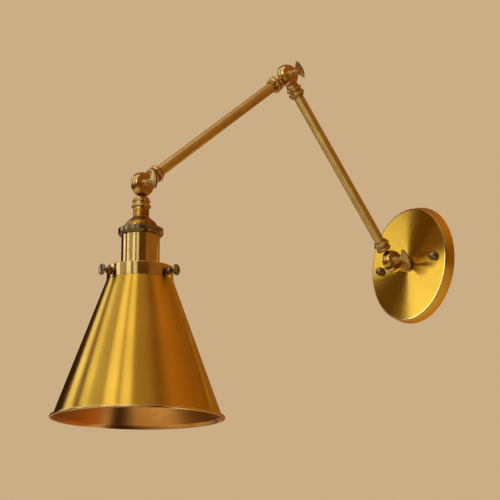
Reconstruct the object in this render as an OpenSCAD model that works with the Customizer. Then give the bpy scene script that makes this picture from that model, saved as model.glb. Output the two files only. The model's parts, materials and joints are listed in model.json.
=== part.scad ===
// Extendable wall lamp: a round wall plate, a folding arm of two tubes on three ball
// knuckles with flat keys, and a lampholder with a cone shade.
// The wall is the plane y = 0, the lamp stands out along -Y, and +Z is up.
// The origin is the middle of the mounting bar's back face.

/* [Wall plate] */
// Diameter of the wall plate at the wall
plate_d = 120; // [112:1:150]
// Depth of the wall plate, from the wall to its front
plate_depth = 10; // [9.5:0.5:14]
// Thickness of the plate's sheet
plate_t = 1.2; // [0.8:0.1:1.5]
// Amount by which the plate's radius shrinks from back to front
plate_draft = 2.4; // [1:0.2:4]
// Radius of the plate's rounded front edge
plate_edge_r = 1.6; // [1.2:0.2:2.6]

/* [Mounting bar] */
// Length of the mounting bar
bar_l = 100; // [96:1:106]
// Width of the mounting bar
bar_w = 22; // [20:1:28]
// Thickness of the mounting bar
bar_t = 1.5; // [1:0.1:1.8]
// Distance between the two studs that carry the plate
stud_spacing = 84; // [80:1:88]
// Diameter of the studs
stud_d = 4; // [3:0.5:4.5]
// Distance between the two wall screw holes
wall_hole_spacing = 60; // [56:1:66]
// Diameter of the wall screw holes
wall_hole_d = 5; // [4:0.5:6]
// Diameter of the hole in the bar that the supply cable comes through
cable_hole_d = 12; // [10:0.5:14]
// Diameter of the domed cap nuts
cap_nut_d = 9; // [8:0.5:11]
// Height of the domed cap nuts
cap_nut_h = 7; // [6:0.5:9]
// Thickness of the stud lock nuts
stud_nut_h = 2.4; // [2:0.1:3]

/* [Arms] */
// Distance from the wall to the middle of the first ball
wall_reach = 32; // [30:0.5:38]
// Length of each arm, from ball middle to ball middle
arm_length = 216; // [150:1:300]
// Angle of the lower arm above level
lower_angle = 53; // [45:1:65]
// Angle of the upper arm below level
upper_angle = 40.4; // [30:0.2:45]
// Outside diameter of the arm tubes
tube_d = 10; // [9.6:0.1:11]
// Wall thickness of the arm tubes
tube_t = 0.95; // [0.6:0.05:0.95]

/* [Knuckles] */
// Diameter of the ball knuckles
ball_d = 23; // [22:0.5:26]
// Wall thickness of the hollow half balls
ball_wall = 2.5; // [2:0.1:3]
// Diameter of the necks
neck_d = 12; // [11:0.2:12.6]
// Distance from the ball's middle to the neck's end
neck_l = 13; // [12.6:0.2:15]
// Distance from the ball's middle plane to the flat face on the key's side
key_face = 7; // [6.5:0.1:8]
// Gap between the two half balls of a knuckle
half_gap = 0.3; // [0.2:0.05:0.5]
// Diameter of the pivot screw
pivot_d = 5; // [4:0.5:5.5]
// Diameter of the hub round the pivot
hub_d = 9; // [8.4:0.2:10]
// Diameter of the shank that each neck pushes into its tube
shank_d = 8; // [7.6:0.1:8]
// Depth of the shank inside the tube
shank_in_tube = 10; // [6:1:16]
// Diameter of the bore that the leads run through
lead_bore_d = 5.6; // [5.4:0.1:5.8]

/* [Collars] */
// Length of an arm collar
collar_l = 11; // [10.4:0.2:14]
// Diameter of the collar's bead next to the ball
bead_small_d = 15.4; // [14.6:0.2:16]
// Diameter of the collar's main bead
bead_large_d = 16.4; // [15.6:0.2:18]
// Diameter of the collar's body between the beads
collar_body_d = 12.8; // [12.6:0.1:13.4]
// Depth of the tube's seat in the collar
tube_seat = 3; // [2:0.2:3.4]

/* [Keys] */
// Width of a key's fan-shaped grip, from tip to tip
grip_w = 17.2; // [15:0.2:19]
// Distance from the ball's middle plane to the grip's outer edge
grip_end = 26.4; // [25:0.2:29]
// Thickness of the grip
grip_t = 1.6; // [1.4:0.1:2.4]
// Diameter of the stem between the shoulder and the grip
stem_d = 4; // [3.4:0.2:5]
// Turn of the wall key and the elbow key about their screws
key_turn = 122; // [0:1:180]
// Turn of the head key about its screw
head_key_turn = 98; // [0:1:180]

/* [Lampholder] */
// Distance from the last ball's middle to the end of the turned neck
cap_flare_at = 30; // [29.5:0.5:34]
// Height of the socket cap's flare
cap_flare_h = 10.5; // [9:0.5:12]
// Diameter of the socket cap's neck
cap_neck_d = 14.4; // [13.6:0.2:15.4]
// Outside diameter of the dark threaded ring
ring_d = 41; // [39:0.5:45]
// Height of the dark threaded ring
ring_h = 6.5; // [6:0.5:9]
// Outside diameter of the socket shell
shell_d = 34.8; // [34.4:0.2:36]
// Wall thickness of the socket shell
shell_t = 1; // [0.8:0.1:1.1]
// Visible height of the socket shell between the ring and the gallery
shell_h = 29.5; // [27:0.5:40]
// Inside diameter of the lamp screw contact
lamp_thread_d = 26.6; // [26.4:0.1:26.8]
// Depth of the lamp screw contact
lamp_thread_l = 20.5; // [18:0.5:22]

/* [Gallery and shade] */
// Outside diameter of the gallery
gallery_d = 60; // [57:0.5:66]
// Height of the gallery
gallery_h = 12; // [11:0.5:15]
// Wall thickness of the gallery
gallery_t = 1; // [0.8:0.1:1.4]
// Diameter of the thumb screws' shanks
screw_d = 3; // [2.6:0.2:3.4]
// Diameter of the thumb screws' round heads
screw_head_d = 10; // [8:0.5:11]
// Distance from the shade's axis to the outer face of a thumb screw's head
screw_reach = 39.4; // [38:0.2:44]
// Diameter of the bosses that the thumb screws run in
boss_d = 7.2; // [6:0.2:8]
// Direction of the first thumb screw, seen from above
screw_turn = 27.2; // [0:0.4:119]
// Length of the shade's cone below the gallery
cone_h = 122; // [80:1:160]
// Inner diameter of the shade's turned-out rim, where the cone ends
cone_end_d = 149; // [130:1:180]
// Outside diameter of the shade's beaded rim
rim_d = 155; // [151:0.5:190]
// Height of the turned-out rim
rim_h = 2.8; // [2.4:0.1:5]
// Thickness of the rim's bead
bead_t = 2.6; // [2:0.1:3.4]
// Thickness of the shade's sheet
shade_t = 0.8; // [0.6:0.1:1]

/* [Wiring] */
// Diameter of one sleeved lead
lead_d = 2.2; // [1.8:0.1:2.3]
// Distance of each lead's middle from the axis of its bore
lead_ring_r = 1.5; // [1.35:0.05:1.6]

/* [Fits] */
// Radial clearance of a part that turns or slides in another
run_fit = 0.05; // [0.02:0.01:0.1]
// Gap between parts that lie against each other without touching
rest_gap = 0.2; // [0.15:0.05:0.3]

/* [Hidden] */
$fn = 96;

brass = "#c79a3a";
dark_brass = "#5e5230";
steel = "#b9bcbf";
ceramic = "#f1eee6";
phenolic = "#2b2622";
sleeve = "#d8cfba";

// Places of the three balls
wall_ball = [0, -wall_reach, 0];
elbow_ball = wall_ball + arm_length * [0, -cos(lower_angle), sin(lower_angle)];
head_ball = elbow_ball + arm_length * [0, -cos(upper_angle), -sin(upper_angle)];

// Knuckle sizes that follow
hollow_d = ball_d - 2 * ball_wall;
washer_t = 0.3;
hub_face = half_gap / 2 + 0.1;
key_boss_d = hub_d - 0.6;
key_boss_h = 1.2;
key_seat = key_face + key_boss_h;
pivot_end = ball_d / 2 - ball_wall;
shoulder_h = 1.4;
shoulder_d = pivot_d + 2;
grip_edge_r = 12.6;
grip_l = 10.2;
lead_start = neck_l - 0.5;

// Arm sizes that follow
tube_start = neck_l + collar_l - tube_seat;
shank_l = collar_l - tube_seat + shank_in_tube;

// Base sizes that follow
base_shank_d = 10;
plate_inside = plate_depth - plate_t;
base_collar_l = wall_reach - plate_depth - neck_l;
base_washer_t = 0.8;
base_nut_h = 3;
base_nut_af = 14;
base_nut_corner = base_nut_af / 2 / cos(30);
base_shank_end = plate_inside - base_washer_t - base_nut_h - 0.1;
stud_nut_af = stud_d + 3;
block_x = base_nut_corner + 1.9;
block_w = 13;
block_l = bar_w - 2;
block_h = plate_inside - bar_t - 1;
pole_pitch = 5.5;
earth_x = 18;
earth_washer_d = 9;
lead_bend_r = 2.5;
lead_run_y = -(bar_t + lead_d / 2 + 0.1);

// Lampholder places along the axis, as distances from the last ball's middle
head_collar_l = 11;
cap_top = neck_l + head_collar_l;
cap_nut_at = cap_flare_at + 6;
head_nut_h = 4;
head_nut_af = 13;
head_shank_end = cap_nut_at + head_nut_h + 1;
flare_end_d = 30;
flare_end = cap_flare_at + cap_flare_h;
ring_top = flare_end + 1.5;
ring_bottom = ring_top + ring_h;
shell_in = shell_d - 2 * shell_t;
skirt_d = shell_in - 2 * rest_gap;
skirt_end = ring_bottom + 1;
shell_top = ring_top + ring_h * 0.6;
gallery_top = ring_bottom + shell_h;
gallery_bottom = gallery_top + gallery_h;
retainer_h = 3.8;
shell_bottom = gallery_top + gallery_t + retainer_h + 0.5;
core_top = skirt_end + 0.1;
core_flange_h = 3.8;
core_end = gallery_bottom - 4.5;
contact_end = core_end - 1;
contact_start = contact_end - lamp_thread_l;
contact_t = 0.4;
contact_rise = 3;
core_floor = contact_start - contact_rise - 1;
core_bore_d = lamp_thread_d + 2 * contact_t + 0.2;
liner_t = 0.4;
core_d = shell_in - 2 * liner_t - 4 * rest_gap;

// Gallery and shade sizes that follow
screw_at = gallery_top + gallery_h / 2;
fitter_r = gallery_d / 2 - gallery_t - 0.6;
fitter_top = gallery_top + gallery_t + 1.3;
cone_top = gallery_bottom + rest_gap;
cone_top_r = gallery_d / 2 + 0.2;
cone_end = cone_top + cone_h;
cone_end_r = cone_end_d / 2;
rim_r = rim_d / 2;
screw_head_t = 2.4;
boss_l = 3.2;

// Shared shapes

// Direction square to the line from a to b
function across(a, b) = let (d = (b - a) / norm(b - a)) [-d[1], d[0]];

// One side of a sheet whose middle follows a line of points, at a distance w from it
function sheet_side(points, w) = [
    for (i = [0:len(points) - 1])
        let (
            before = across(points[max(i - 1, 0)], points[max(i, 1)]),
            after = across(points[min(i, len(points) - 2)], points[min(i + 1, len(points) - 1)])
        )
        points[i] + (before + after) * w / (1 + before * after)
];

function backwards(list) = [for (i = [len(list) - 1:-1:0]) list[i]];

// A frame at a ball, with +Z along an arm that rises by the given angle
module along(ball, rise) {
    translate(ball) rotate([90 - rise, 0, 0]) children();
}

// The far end of an arm, looking back along it
module far_end() {
    translate([0, 0, arm_length]) rotate([180, 0, 0]) children();
}

module lower_frame() {
    along(wall_ball, lower_angle) children();
}

module upper_frame() {
    along(elbow_ball, -upper_angle) children();
}

module head_frame() {
    along(head_ball, -90) children();
}

// The part of space between two distances from the ball's middle plane
module slab(side, from, to) {
    reach = 3 * ball_d;
    translate([side > 0 ? from : -to, -reach / 2, -reach / 2]) cube([to - from, reach, reach]);
}

// A cylinder along X on one side of the ball's middle plane
module pin_x(side, d, from, to) {
    translate([side * from, 0, 0]) rotate([0, side * 90, 0]) cylinder(d = d, h = to - from);
}

// A ball whose poles are up and down, turned so that its seam is on the side cut away
module ball(side, d) {
    rotate([0, 0, side > 0 ? 180 : 0]) sphere(d = d);
}

// A half ball with its neck and the shank that goes into the next piece.
// Side 1 has the flat face for the key, side -1 the blind hole for the screw's end.
module knuckle_half(side, pin_d, pin_l) {
    outer = side > 0 ? key_face : ball_d / 2;
    floor_at = side > 0 ? key_face - ball_wall : ball_d / 2;
    difference() {
        union() {
            intersection() {
                ball(side, ball_d);
                slab(side, half_gap / 2, outer);
            }
            difference() {
                cylinder(d = neck_d, h = neck_l);
                intersection() {
                    ball(-side, ball_d + 2 * half_gap);
                    slab(side, -ball_d, half_gap / 2);
                }
            }
            translate([0, 0, neck_l]) cylinder(d = pin_d, h = pin_l);
            if (side > 0) pin_x(side, key_boss_d, key_face - 1, key_seat);
        }
        difference() {
            intersection() {
                ball(side, hollow_d);
                slab(side, -ball_d, floor_at);
            }
            rotate([0, 90, 0]) cylinder(d = hub_d, h = 2 * ball_d, center = true);
        }
        pin_x(side, hub_d + 0.02, -1, hub_face);
        pin_x(side, pivot_d + 2 * run_fit, -1, side > 0 ? ball_d : pivot_end + 0.4);
        translate([0, 0, hollow_d / 2 - 2]) cylinder(d = lead_bore_d, h = neck_l + pin_l);
    }
}

// Washer between the two hubs of a knuckle
module friction_washer() {
    difference() {
        pin_x(1, hub_d - 0.4, -washer_t / 2, washer_t / 2);
        pin_x(1, pivot_d + 0.3, -1, 1);
    }
}

// Outline of a key's grip: a fan whose outer edge is an arc and whose sides swell a little
module grip_outline() {
    swell = 1.2;
    edge_mid = grip_end - grip_edge_r;
    root = [grip_end - grip_l, stem_d / 2];
    tip = [edge_mid + sqrt(grip_edge_r * grip_edge_r - grip_w * grip_w / 4), grip_w / 2];
    side = (root + tip) / 2 + swell * across(root, tip);
    beyond = side + 2 * (tip - side);
    half = [root, side, beyond];
    intersection() {
        translate([edge_mid, 0]) circle(r = grip_edge_r);
        polygon(concat(half, [for (point = backwards(half)) [point[0], -point[1]]]));
    }
}

// Pivot screw with its shoulder, its stem that thins out into the grip, and the grip
module key() {
    taper_l = 4;
    taper_end_d = grip_t * 0.7;
    taper_at = grip_end - grip_l + 0.5;
    pin_x(1, pivot_d, -pivot_end, key_seat + 0.2);
    pin_x(1, shoulder_d, key_seat + 0.1, key_seat + 0.1 + shoulder_h);
    pin_x(1, stem_d, key_seat + shoulder_h, taper_at);
    translate([taper_at, 0, 0]) rotate([0, 90, 0]) cylinder(d1 = stem_d, d2 = taper_end_d, h = taper_l);
    translate([0, 0, -grip_t / 2]) linear_extrude(height = grip_t) grip_outline();
}

// A ring of round section, as drawn for rotate_extrude
module bead_outline(outer_r, half, at) {
    translate([outer_r - half, at]) circle(r = half);
}

// Turned collar of an arm, with two beads and an end ring
module arm_collar() {
    small = 1.9;
    large = 2.3;
    end_half = 0.7;
    body_r = collar_body_d / 2;
    translate([0, 0, neck_l]) difference() {
        rotate_extrude() {
            square([body_r, collar_l]);
            bead_outline(bead_small_d / 2, small, small + 0.3);
            bead_outline(bead_large_d / 2, large, collar_l / 2 + 1.7);
            bead_outline(body_r + 0.4, end_half, collar_l - end_half);
        }
        translate([0, 0, -1]) cylinder(d = shank_d + 2 * run_fit, h = collar_l + 2);
        translate([0, 0, collar_l - tube_seat]) cylinder(d = tube_d + 2 * run_fit, h = tube_seat + 1);
    }
}

module arm_tube() {
    translate([0, 0, tube_start]) difference() {
        cylinder(d = tube_d, h = arm_length - 2 * tube_start);
        translate([0, 0, -1]) cylinder(d = tube_d - 2 * tube_t, h = arm_length);
    }
}

// Three sleeved leads side by side along +Z
module leads(from, to) {
    for (turn = [90, 210, 330])
        rotate([0, 0, turn]) translate([lead_ring_r, 0, from]) cylinder(d = lead_d, h = to - from);
}

// One lead that leaves the base shank and turns to run along the mounting bar
module base_lead(turn, heading, run) {
    start = -wall_reach + lead_start;
    translate([lead_ring_r * cos(turn), 0, lead_ring_r * sin(turn)]) rotate([0, -heading, 0]) {
        translate([0, start, 0]) rotate([-90, 0, 0])
            cylinder(d = lead_d, h = lead_run_y - lead_bend_r - start);
        translate([lead_bend_r, lead_run_y - lead_bend_r, 0]) rotate([0, 0, 90])
            rotate_extrude(angle = 90) translate([lead_bend_r, 0]) circle(d = lead_d);
        translate([lead_bend_r, lead_run_y, 0]) rotate([0, 90, 0])
            cylinder(d = lead_d, h = run - lead_bend_r);
    }
}

// Outline of the plate for rotate_extrude, its front edge rounded
module plate_outline(r, depth, edge_r) {
    foot = 1.2;
    rise = depth - foot;
    slope = sqrt(plate_draft * plate_draft + rise * rise);
    out = [rise / slope, plate_draft / slope];
    edge = [r - (edge_r + (rise - edge_r) * out[1]) / out[0], depth - edge_r];
    polygon([[0, 0], [r, 0], [r, foot], edge + edge_r * out, edge, [edge[0], depth], [0, depth]]);
    translate(edge) circle(r = edge_r);
}

// Two copies on the mounting bar's centre line
module pair(spacing) {
    for (side = [-1, 1]) translate([side * spacing / 2, 0, 0]) children();
}

// A cylinder that stands out from the wall, from one distance to another
module out_pin(d, from, to, sides = 96) {
    translate([0, -from, 0]) rotate([90, 0, 0]) cylinder(d = d, h = to - from, $fn = sides);
}

module screw_frame(index) {
    head_frame() rotate([0, 0, -(screw_turn + 120 * index)]) translate([0, 0, screw_at]) children();
}

// Base

module wall_plate() {
    color(brass) difference() {
        rotate([90, 0, 0]) rotate_extrude($fn = 180) difference() {
            plate_outline(plate_d / 2, plate_depth, plate_edge_r);
            translate([0, -0.01])
                plate_outline(plate_d / 2 - plate_t, plate_inside + 0.01, max(plate_edge_r - plate_t, 0.3));
        }
        out_pin(base_shank_d + 2 * rest_gap, plate_inside - 1, plate_depth + 1);
        pair(stud_spacing) out_pin(stud_d + 0.6, plate_inside - 1, plate_depth + 1);
    }
}

module mounting_bar() {
    color(steel) difference() {
        union() {
            translate([-bar_l / 2 + bar_w / 2, -bar_t, -bar_w / 2]) cube([bar_l - bar_w, bar_t, bar_w]);
            pair(bar_l - bar_w) out_pin(bar_w, 0, bar_t);
        }
        out_pin(cable_hole_d, -1, bar_t + 1);
        pair(wall_hole_spacing) out_pin(wall_hole_d, -1, bar_t + 1);
        pair(stud_spacing) out_pin(stud_d + 2 * run_fit, -1, bar_t + 1);
        translate([-earth_x, 0, 0]) out_pin(stud_d + 2 * run_fit, -1, bar_t + 1);
        block_pegs(run_fit, bar_t + 1);
    }
}

module bar_studs() {
    color(steel) pair(stud_spacing) out_pin(stud_d, 0, plate_depth + cap_nut_h * 0.6);
}

module stud_lock_nuts() {
    color(steel) pair(stud_spacing) difference() {
        out_pin(stud_nut_af / cos(30), bar_t, bar_t + stud_nut_h, 6);
        out_pin(stud_d + 2 * run_fit, bar_t - 1, bar_t + stud_nut_h + 1);
    }
}

module cap_nuts() {
    dome_r = cap_nut_d / 2;
    color(brass) pair(stud_spacing) difference() {
        union() {
            out_pin(cap_nut_d, plate_depth, plate_depth + cap_nut_h - dome_r);
            translate([0, -(plate_depth + cap_nut_h - dome_r), 0]) sphere(r = dome_r);
        }
        out_pin(cap_nut_d * 2, plate_depth - cap_nut_d, plate_depth);
        out_pin(stud_d + 2 * run_fit, plate_depth - 1, plate_depth + cap_nut_h * 0.65);
    }
}

module earth_screw() {
    head_h = 2.2;
    washer_h = 0.8;
    color(brass) translate([-earth_x, 0, 0]) {
        out_pin(stud_d, 0, bar_t + washer_h + head_h);
        out_pin(earth_washer_d, bar_t, bar_t + washer_h);
        difference() {
            out_pin(earth_washer_d - 2, bar_t + washer_h, bar_t + washer_h + head_h);
            translate([-earth_washer_d / 2, -(bar_t + washer_h + head_h + 1), -0.5])
                cube([earth_washer_d, 1.9, 1]);
        }
    }
}

module block_pegs(extra, h) {
    for (z = [-1, 1])
        translate([block_x + block_w / 2, 0, z * block_l * 0.4]) out_pin(2.4 + 2 * extra, -0.01, h);
}

module terminal_block() {
    color(phenolic) {
        difference() {
            translate([block_x, -(bar_t + block_h), -block_l / 2]) cube([block_w, block_h, block_l]);
            for (i = [-1, 0, 1]) {
                translate([block_x - 1, lead_run_y, i * pole_pitch]) rotate([0, 90, 0])
                    cylinder(d = 1.8, h = block_w + 2);
                for (x = [0.25, 0.75])
                    translate([block_x + block_w * x, 0, i * pole_pitch])
                        out_pin(3, bar_t + block_h - 2.5, bar_t + block_h + 1);
            }
        }
        intersection() {
            block_pegs(0, bar_t + 0.5);
            translate([0, -bar_t - 1, -bar_w / 2]) cube([bar_l, bar_t + 1, bar_w]);
        }
    }
}

module terminal_clamp_screws() {
    color(brass) for (i = [-1, 0, 1]) for (x = [0.25, 0.75])
        translate([block_x + block_w * x, 0, i * pole_pitch])
            out_pin(3 - 2 * run_fit, bar_t + block_h - 2.5, bar_t + block_h - 0.5);
}

module base_washer() {
    color(steel) difference() {
        out_pin(base_nut_af + 3, plate_inside - base_washer_t, plate_inside);
        out_pin(base_shank_d + 2 * run_fit, 0, plate_depth);
    }
}

module base_lock_nut() {
    color(brass) difference() {
        out_pin(2 * base_nut_corner, plate_inside - base_washer_t - base_nut_h, plate_inside - base_washer_t, 6);
        out_pin(base_shank_d + 2 * run_fit, 0, plate_depth);
    }
}

module base_collar() {
    foot_half = base_collar_l * 0.28;
    bead_half = base_collar_l * 0.22;
    color(brass) along(wall_ball, 180) translate([0, 0, neck_l]) difference() {
        rotate_extrude() {
            square([collar_body_d / 2, base_collar_l]);
            bead_outline(bead_small_d / 2, bead_half, bead_half + 0.3);
            bead_outline(bead_large_d / 2, foot_half, base_collar_l - foot_half);
        }
        translate([0, 0, -1]) cylinder(d = base_shank_d + 2 * run_fit, h = base_collar_l + 2);
    }
}

module base_knuckle() {
    color(brass) along(wall_ball, 180) knuckle_half(1, base_shank_d, wall_reach - neck_l - base_shank_end);
}

module base_leads() {
    pole = [block_x, pole_pitch] - lead_ring_r * [cos(60), sin(60)];
    heading = atan2(pole[1], pole[0]);
    color(sleeve) {
        base_lead(60, heading, norm(pole) - 1);
        base_lead(-60, -heading, norm(pole) - 1);
        base_lead(180, 180, earth_x - earth_washer_d / 2 - rest_gap - lead_ring_r);
    }
}

module wall_friction_washer() {
    color(steel) translate(wall_ball) friction_washer();
}

module wall_key() {
    color(brass) translate(wall_ball) rotate([key_turn, 0, 0]) key();
}

// Lower arm

module lower_wall_knuckle() {
    color(brass) lower_frame() knuckle_half(-1, shank_d, shank_l);
}

module lower_wall_collar() {
    color(brass) lower_frame() arm_collar();
}

module lower_arm_tube() {
    color(brass) lower_frame() arm_tube();
}

module lower_elbow_collar() {
    color(brass) lower_frame() far_end() arm_collar();
}

module lower_elbow_knuckle() {
    color(brass) lower_frame() far_end() knuckle_half(1, shank_d, shank_l);
}

module lower_arm_leads() {
    color(sleeve) lower_frame() leads(lead_start, arm_length - lead_start);
}

module elbow_friction_washer() {
    color(steel) translate(elbow_ball) friction_washer();
}

module elbow_key() {
    color(brass) translate(elbow_ball) rotate([key_turn, 0, 0]) key();
}

// Upper arm

module upper_elbow_knuckle() {
    color(brass) upper_frame() knuckle_half(-1, shank_d, shank_l);
}

module upper_elbow_collar() {
    color(brass) upper_frame() arm_collar();
}

module upper_arm_tube() {
    color(brass) upper_frame() arm_tube();
}

module upper_head_collar() {
    color(brass) upper_frame() far_end() arm_collar();
}

module upper_head_knuckle() {
    color(brass) upper_frame() far_end() knuckle_half(1, shank_d, shank_l);
}

module upper_arm_leads() {
    color(sleeve) upper_frame() leads(lead_start, arm_length - lead_start);
}

module head_friction_washer() {
    color(steel) translate(head_ball) friction_washer();
}

module head_key() {
    color(brass) translate(head_ball) rotate([head_key_turn, 0, 0]) key();
}

// Lampholder

module head_knuckle() {
    color(brass) head_frame() knuckle_half(-1, shank_d, head_shank_end - neck_l);
}

module head_collar() {
    thin = 0.9;
    thick = 1.5;
    thin_at = head_collar_l * 0.26;
    thick_at = head_collar_l * 0.71;
    color(brass) head_frame() translate([0, 0, neck_l]) difference() {
        rotate_extrude() {
            square([cap_neck_d / 2, head_collar_l]);
            bead_outline(cap_neck_d / 2 + 1.1, thin, thin_at);
            bead_outline(cap_neck_d / 2 + 1.8, thick, thick_at);
        }
        translate([0, 0, -1]) cylinder(d = shank_d + 2 * run_fit, h = head_collar_l + 2);
    }
}

module head_lock_nut() {
    color(steel) head_frame() translate([0, 0, cap_nut_at]) difference() {
        cylinder(d = head_nut_af / cos(30), h = head_nut_h, $fn = 6);
        translate([0, 0, -1]) cylinder(d = shank_d + 2 * run_fit, h = head_nut_h + 2);
    }
}

// Turned cap: a neck, a bell that opens out to the shoulder, and the skirt inside the ring
module socket_cap() {
    neck_r = cap_neck_d / 2;
    bell_r = flare_end_d / 2;
    lean = 49;
    hollow_r = 2;
    slope_start = [neck_r + hollow_r * (1 - cos(lean)), cap_flare_at + hollow_r * sin(lean)];
    round_r = (tan(lean) * (flare_end - slope_start[1]) - (bell_r - slope_start[0])) / (1 / cos(lean) - 1);
    round_mid = [bell_r - round_r, flare_end];
    slope_end = round_mid + round_r * [cos(lean), -sin(lean)];
    shoulder = ring_top - 0.2;
    nut_space_r = head_nut_af / 2 / cos(30) + 0.4;
    skirt_in_r = core_d / 2 - 1;
    floor_at = shoulder + 1.2;
    color(brass) head_frame() rotate_extrude() difference() {
        union() {
            polygon([
                [0, cap_top], [neck_r, cap_top], [neck_r, cap_flare_at], slope_start, slope_end,
                round_mid, [bell_r, flare_end], [bell_r, shoulder], [skirt_d / 2, shoulder],
                [skirt_d / 2, skirt_end], [0, skirt_end]
            ]);
            translate(round_mid) circle(r = round_r);
        }
        translate([neck_r + hollow_r, cap_flare_at]) circle(r = hollow_r);
        polygon([
            [0, cap_nut_at], [nut_space_r, cap_nut_at], [nut_space_r, floor_at], [skirt_in_r, floor_at],
            [skirt_in_r, skirt_end + 1], [0, skirt_end + 1]
        ]);
        translate([0, cap_top - 1]) square([shank_d / 2 + run_fit, skirt_end]);
    }
}

module socket_ring() {
    top_edge = 0.6;
    bottom_edge = 2.2;
    r = ring_d / 2;
    upper_r = skirt_d / 2 + run_fit;
    lower_r = shell_d / 2 + run_fit;
    color(dark_brass) head_frame() rotate_extrude() difference() {
        union() {
            polygon([
                [upper_r, ring_top], [r - top_edge, ring_top], [r, ring_top + top_edge],
                [r, ring_bottom - bottom_edge], [r - bottom_edge, ring_bottom], [lower_r, ring_bottom],
                [lower_r, shell_top - rest_gap], [upper_r, shell_top - rest_gap]
            ]);
            translate([r - top_edge, ring_top + top_edge]) circle(r = top_edge);
            translate([r - bottom_edge, ring_bottom - bottom_edge]) circle(r = bottom_edge);
        }
        translate([0, ring_top - 1]) square([upper_r, ring_h + 2]);
        translate([0, shell_top - rest_gap]) square([lower_r, ring_h]);
    }
}

module socket_shell() {
    color(brass) head_frame() translate([0, 0, shell_top]) difference() {
        cylinder(d = shell_d, h = shell_bottom - shell_top);
        translate([0, 0, -1]) cylinder(d = shell_in, h = shell_bottom);
    }
}

module socket_liner() {
    from = core_top + core_flange_h + rest_gap;
    color(phenolic) head_frame() translate([0, 0, from]) difference() {
        cylinder(d = shell_in - 2 * rest_gap, h = core_end - from);
        translate([0, 0, -1]) cylinder(d = core_d + 2 * rest_gap, h = core_end);
    }
}

module lampholder_core() {
    color(ceramic) head_frame() difference() {
        union() {
            translate([0, 0, core_top]) cylinder(d = skirt_d, h = core_flange_h);
            translate([0, 0, core_top]) cylinder(d = core_d, h = core_end - core_top);
        }
        translate([0, 0, core_floor]) cylinder(d = core_bore_d, h = lamp_thread_l * 2);
        lampholder_screw_places() translate([0, 0, -1]) cylinder(d = 3 + 2 * run_fit, h = 7);
    }
}

module lampholder_screw_places() {
    for (side = [-1, 1]) translate([0, side * 9.5, core_top]) children();
}

module lampholder_screws() {
    color(brass) head_frame() lampholder_screw_places() {
        translate([0, 0, -2]) cylinder(d = 5.4, h = 2);
        translate([0, 0, -0.5]) cylinder(d = 3, h = 6);
    }
}

// Contact shell of the lamp screw, with rolled grooves outside
module screw_contact() {
    in_r = lamp_thread_d / 2;
    pitch = 3.6;
    grooves = floor((lamp_thread_l - 2) / pitch);
    color(brass) head_frame() rotate_extrude() difference() {
        translate([in_r, contact_start]) square([contact_t, lamp_thread_l]);
        for (i = [0:grooves])
            translate([in_r + contact_t + 0.75, contact_start + 1.5 + i * pitch]) circle(r = 0.9, $fn = 24);
    }
}

module centre_contact() {
    strip_t = 0.4;
    strip_w = 5;
    color(brass) head_frame() translate([0, strip_w / 2, core_floor]) rotate([90, 0, 0])
        linear_extrude(height = strip_w)
            polygon([
                [-9, 0], [-4, 0], [3, contact_rise], [3, contact_rise + strip_t],
                [-4.2, strip_t], [-9, strip_t]
            ]);
}

module head_leads() {
    color(sleeve) head_frame() leads(lead_start, core_top - rest_gap);
}

// Gallery and shade

module shade_gallery() {
    r = gallery_d / 2;
    edge = 1.2;
    color(brass) difference() {
        head_frame() rotate_extrude() difference() {
            union() {
                polygon([
                    [0, gallery_top], [r - edge, gallery_top], [r - edge, gallery_top + edge],
                    [r, gallery_top + edge], [r, gallery_bottom], [0, gallery_bottom]
                ]);
                translate([r - edge, gallery_top + edge]) circle(r = edge);
            }
            translate([0, gallery_top - 1]) square([shell_d / 2 + run_fit, gallery_h]);
            translate([0, gallery_top + gallery_t]) square([r - gallery_t, gallery_h]);
        }
        for (i = [0:2]) screw_frame(i) pin_x(1, screw_d + 2 * run_fit, fitter_r, r + 5);
    }
}

module gallery_bosses() {
    color(dark_brass) difference() {
        for (i = [0:2]) screw_frame(i) difference() {
            pin_x(1, boss_d, fitter_r + 1, gallery_d / 2 + boss_l);
            pin_x(1, screw_d + 2 * run_fit, fitter_r, gallery_d / 2 + boss_l + 1);
        }
        head_frame() translate([0, 0, gallery_top]) cylinder(d = gallery_d + 0.02, h = gallery_h);
    }
}

module gallery_retaining_ring() {
    color(brass) head_frame() translate([0, 0, gallery_top + gallery_t]) difference() {
        cylinder(d = shell_d + 7, h = retainer_h);
        translate([0, 0, -1]) cylinder(d = shell_d + 2 * run_fit, h = retainer_h + 2);
    }
}

// Spun cone with a fitter neck inside the gallery and a turned-out beaded rim
module shade() {
    lip = 0.6;
    half = shade_t / 2;
    rim_mid = [rim_r - bead_t / 2, cone_end + rim_h - bead_t / 2];
    line = [
        [fitter_r - half, fitter_top], [fitter_r - half, cone_top + half], [cone_top_r - half, cone_top + half],
        [cone_end_r - half, cone_end], rim_mid
    ];
    color(brass) head_frame() rotate_extrude($fn = 180) {
        polygon(concat(sheet_side(line, -half), backwards(sheet_side(line, half))));
        translate(rim_mid) circle(r = bead_t / 2);
        translate(line[0]) circle(r = lip);
    }
}

module thumb_screw(index) {
    head_from = screw_reach - screw_head_t;
    color(dark_brass) screw_frame(index) {
        pin_x(1, screw_d, fitter_r + 0.1, head_from + 0.5);
        pin_x(1, screw_d + 1.6, head_from - 1.2, head_from + 0.2);
        pin_x(1, screw_head_d, head_from, screw_reach);
    }
}

module shade_screw_right() {
    thumb_screw(0);
}

module shade_screw_back() {
    thumb_screw(1);
}

module shade_screw_left() {
    thumb_screw(2);
}

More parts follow.
